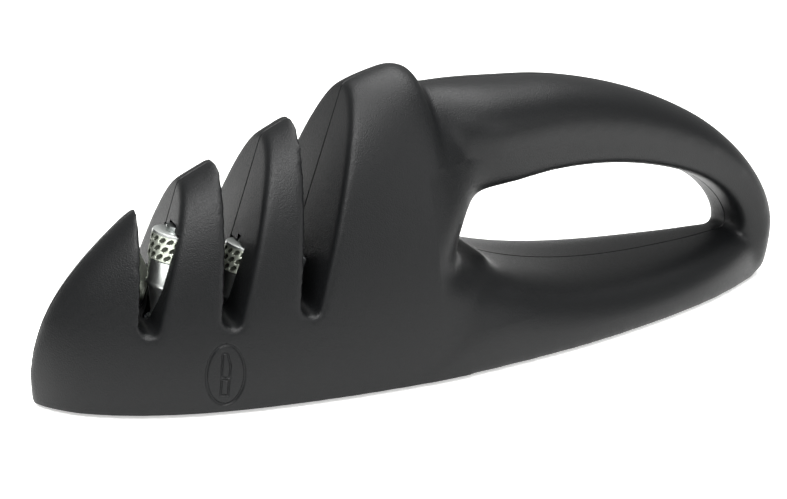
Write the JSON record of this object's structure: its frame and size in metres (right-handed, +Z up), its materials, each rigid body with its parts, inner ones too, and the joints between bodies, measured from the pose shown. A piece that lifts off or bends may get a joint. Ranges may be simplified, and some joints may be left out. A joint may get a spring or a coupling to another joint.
{
  "type": "pull-through sharpener",
  "caption": "Hand-held pull-through sharpener with a D handle, fins with leaning slots between them, and crossed pairs of turning abrasive rollers.",
  "frame": {"origin": "middle of the tool's box, on the ground under the rubber pad", "axes": "+X from the nose to the tail, +Y across the tool to its left half, +Z up"},
  "size_m": [0.2148, 0.0618, 0.0723],
  "materials": {
    "casing": "fine spark texture",
    "inner_plastic": "plain moulded",
    "pad": "matt",
    "abrasive_steel": "turned, with a coated dimpled head",
    "fine_stone": "ground",
    "pin_steel": "ground",
    "screw_steel": "zinc plated"
  },
  "bodies": {
    "housing": {"shell_left": "casing", "shell_right": "casing", "base_plate": "inner_plastic", "rubber_pad": "pad", "coarse_carrier": "inner_plastic", "medium_carrier": "inner_plastic", "fine_carrier": "inner_plastic", "coarse_pin_left": "pin_steel", "coarse_pin_right": "pin_steel", "medium_pin_left": "pin_steel", "medium_pin_right": "pin_steel", "fine_pin_left": "pin_steel", "fine_pin_right": "pin_steel", "coarse_washers": "pin_steel", "medium_washers": "pin_steel", "fine_washers": "pin_steel", "case_screws": "screw_steel", "base_screws": "screw_steel"},
    "coarse_left": {"coarse_roller_left": "abrasive_steel"},
    "coarse_right": {"coarse_roller_right": "abrasive_steel"},
    "medium_left": {"medium_roller_left": "abrasive_steel"},
    "medium_right": {"medium_roller_right": "abrasive_steel"},
    "fine_left": {"fine_roller_left": "fine_stone"},
    "fine_right": {"fine_roller_right": "fine_stone"}
  },
  "joints": [
    {"name": "coarse_left_spin", "type": "hinge", "parent": "housing", "child": "coarse_left", "pos_m": [-0.07779, 0.0044, 0.0184], "axis": [-0.342, 0, 0.9397], "continuous": true},
    {"name": "coarse_right_spin", "type": "hinge", "parent": "housing", "child": "coarse_right", "pos_m": [-0.07802, -0.0052, 0.0184], "axis": [0.2588, 0, 0.9659], "continuous": true},
    {"name": "medium_left_spin", "type": "hinge", "parent": "housing", "child": "medium_left", "pos_m": [-0.05978, 0.0063, 0.0136], "axis": [-0.342, 0, 0.9397], "continuous": true},
    {"name": "medium_right_spin", "type": "hinge", "parent": "housing", "child": "medium_right", "pos_m": [-0.0609, -0.0052, 0.0136], "axis": [0.2588, 0, 0.9659], "continuous": true},
    {"name": "fine_left_spin", "type": "hinge", "parent": "housing", "child": "fine_left", "pos_m": [-0.04401, 0.0063, 0.011], "axis": [-0.342, 0, 0.9397], "continuous": true},
    {"name": "fine_right_spin", "type": "hinge", "parent": "housing", "child": "fine_right", "pos_m": [-0.0449, -0.0058, 0.011], "axis": [0.2588, 0, 0.9659], "continuous": true}
  ]
}
